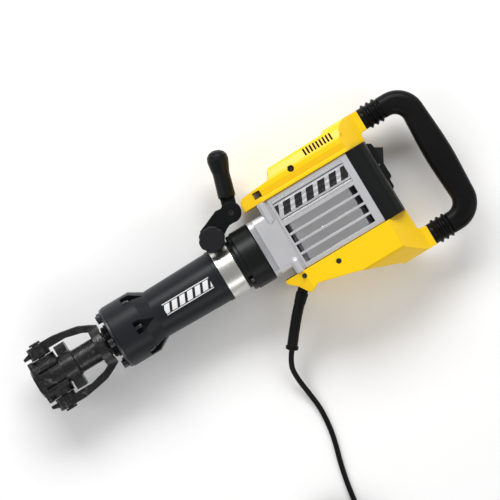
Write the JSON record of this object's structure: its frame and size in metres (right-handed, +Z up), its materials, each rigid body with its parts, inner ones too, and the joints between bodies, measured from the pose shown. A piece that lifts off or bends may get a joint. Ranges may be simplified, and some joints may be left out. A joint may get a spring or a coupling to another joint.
{
  "type": "demolition hammer",
  "caption": "Electric demolition hammer with hexagon socket, flip-over tool retainer, bolted barrel, clamped side handle, sprung D handle and mains lead, lying on its side.",
  "frame": {"origin": "middle of the bounding box's underside, where the hammer lies on its left side, the mains lead left out", "axes": "+X along the striking axis towards the rear D handle, +Y towards the side handle, +Z up, out of the right-hand side"},
  "size_m": [0.7822, 0.7408, 0.13],
  "materials": {
    "forged_steel": "oiled forged steel, satin",
    "bright_steel": "brushed",
    "dark_steel": "black oxide",
    "tool_steel": "ground",
    "screw_steel": "black zinc",
    "bearing_steel": "honed",
    "black_casting": "satin black paint",
    "bronze": "sintered bronze",
    "rubber_ring": "matte",
    "piston_alloy": "machined",
    "laminated_steel": "laminated",
    "copper": "enamelled copper",
    "carbon": "sintered carbon",
    "fan_plastic": "moulded",
    "cast_aluminium": "fine cast, satin",
    "polished_aluminium": "polished",
    "plate": "satin print",
    "black_plastic": "satin moulded",
    "rocker_plastic": "matte moulded",
    "inner_plastic": "moulded",
    "yellow_plastic": "satin gloss moulded",
    "knob_plastic": "matte moulded",
    "bracket_plastic": "satin moulded",
    "handle_rubber": "soft rubber",
    "bellows_rubber": "soft rubber",
    "cord_rubber": "rubber sheath"
  },
  "bodies": {
    "housing": {"tool_holder": "forged_steel", "retainer_pins": "bright_steel", "nose_ring": "rubber_ring", "front_plate": "bright_steel", "barrel_housing": "black_casting", "flange_bolts": "dark_steel", "beat_piece_bush": "bronze", "impact_damper": "rubber_ring", "cylinder_sleeve": "bearing_steel", "shaft_bearings": "bearing_steel", "bearing_bridge": "piston_alloy", "field_stator": "laminated_steel", "field_coils": "copper", "brush_holders": "copper", "carbon_brushes": "carbon", "gear_case": "cast_aluminium", "motor_housing": "cast_aluminium", "motor_liners": "polished_aluminium", "name_plates": "plate", "neck_collar": "black_plastic", "housing_screws": "screw_steel", "top_cover": "yellow_plastic", "bottom_cover": "yellow_plastic", "rear_end_cap": "black_plastic", "switch_bezel": "black_plastic", "rocker_pin": "tool_steel", "switch_body": "inner_plastic", "control_module": "inner_plastic", "guide_bushes": "bronze", "cord_sleeve": "cord_rubber", "cord_clamp": "inner_plastic", "cord_tube": "cord_rubber", "cord_coil": "cord_rubber", "cord_plug": "cord_rubber", "handle_bellows": "bellows_rubber", "isolator_springs": "tool_steel"},
    "retainer": {"retainer_bail": "forged_steel"},
    "beat_piece": {"beat_piece": "tool_steel"},
    "striker": {"striker": "tool_steel", "striker_seal": "rubber_ring"},
    "piston": {"piston": "piston_alloy", "piston_seal": "rubber_ring", "wrist_pin": "tool_steel"},
    "connecting_rod": {"connecting_rod": "piston_alloy"},
    "crank": {"crank_gear": "tool_steel"},
    "idler": {"idler_gear": "tool_steel"},
    "rotor": {"armature": "laminated_steel", "armature_windings": "copper", "commutator": "copper", "cooling_fan": "fan_plastic"},
    "rocker": {"switch_rocker": "rocker_plastic"},
    "side_handle": {"clamp_band": "bright_steel", "clamp_bolt": "dark_steel", "handle_bracket": "bracket_plastic", "knuckle_bolt": "dark_steel"},
    "knob": {"clamp_knob": "knob_plastic"},
    "side_grip": {"side_grip": "bracket_plastic"},
    "rear_handle": {"handle_core": "piston_alloy", "rear_handle_grip": "handle_rubber", "guide_rods": "tool_steel"}
  },
  "joints": [
    {"name": "retainer_swing", "type": "hinge", "parent": "housing", "child": "retainer", "pos_m": [-0.36207, -0.00537, 0.065], "axis": [0, -1, 0], "range_deg": [0, 180]},
    {"name": "beat_piece_slide", "type": "slide", "parent": "housing", "child": "beat_piece", "axis": [1, 0, 0], "range_m": [-0.0015, 0.0075]},
    {"name": "striker_slide", "type": "slide", "parent": "housing", "child": "striker", "axis": [1, 0, 0], "range_m": [-0.025, 0.01]},
    {"name": "piston_slide", "type": "slide", "parent": "housing", "child": "piston", "axis": [1, 0, 0], "range_m": [0, 0.026]},
    {"name": "rod_swing", "type": "hinge", "parent": "piston", "child": "connecting_rod", "pos_m": [0.00493, -0.00537, 0.065], "axis": [0, 1, 0], "range_deg": [-15, 15]},
    {"name": "rotor_spin", "type": "hinge", "parent": "housing", "child": "rotor", "pos_m": [0.15293, -0.00537, 0.065], "axis": [0, 1, 0], "continuous": true},
    {"name": "idler_spin", "type": "hinge", "parent": "housing", "child": "idler", "pos_m": [0.11105, -0.00537, 0.065], "axis": [0, 1, 0], "continuous": true},
    {"name": "crank_spin", "type": "hinge", "parent": "housing", "child": "crank", "pos_m": [0.07105, -0.00537, 0.065], "axis": [0, 1, 0], "continuous": true},
    {"name": "rocker_toggle", "type": "hinge", "parent": "housing", "child": "rocker", "pos_m": [0.27393, 0.01663, 0.065], "axis": [0, 0, 1], "range_deg": [0, 22]},
    {"name": "side_handle_turn", "type": "hinge", "parent": "housing", "child": "side_handle", "pos_m": [-0.02507, -0.00537, 0.065], "axis": [1, 0, 0], "range_deg": [-150, 150]},
    {"name": "knob_turn", "type": "hinge", "parent": "side_handle", "child": "knob", "pos_m": [-0.02307, 0.05163, 0.108], "axis": [0, 0, 1], "range_deg": [0, 540]},
    {"name": "grip_tilt", "type": "hinge", "parent": "side_handle", "child": "side_grip", "pos_m": [0.02593, 0.07463, 0.065], "axis": [0, 0, 1], "range_deg": [-10, 50]},
    {"name": "rear_handle_slide", "type": "slide", "parent": "housing", "child": "rear_handle", "axis": [1, 0, 0], "range_m": [-0.008, 0], "stiffness_N_per_m": 12000, "springref_m": 0.002, "deforming": ["handle_bellows", "isolator_springs"]}
  ],
  "couplings": [
    {"joint": "idler_spin", "follows": "rotor_spin", "ratio": -0.21818},
    {"joint": "crank_spin", "follows": "rotor_spin", "ratio": 0.093506}
  ]
}
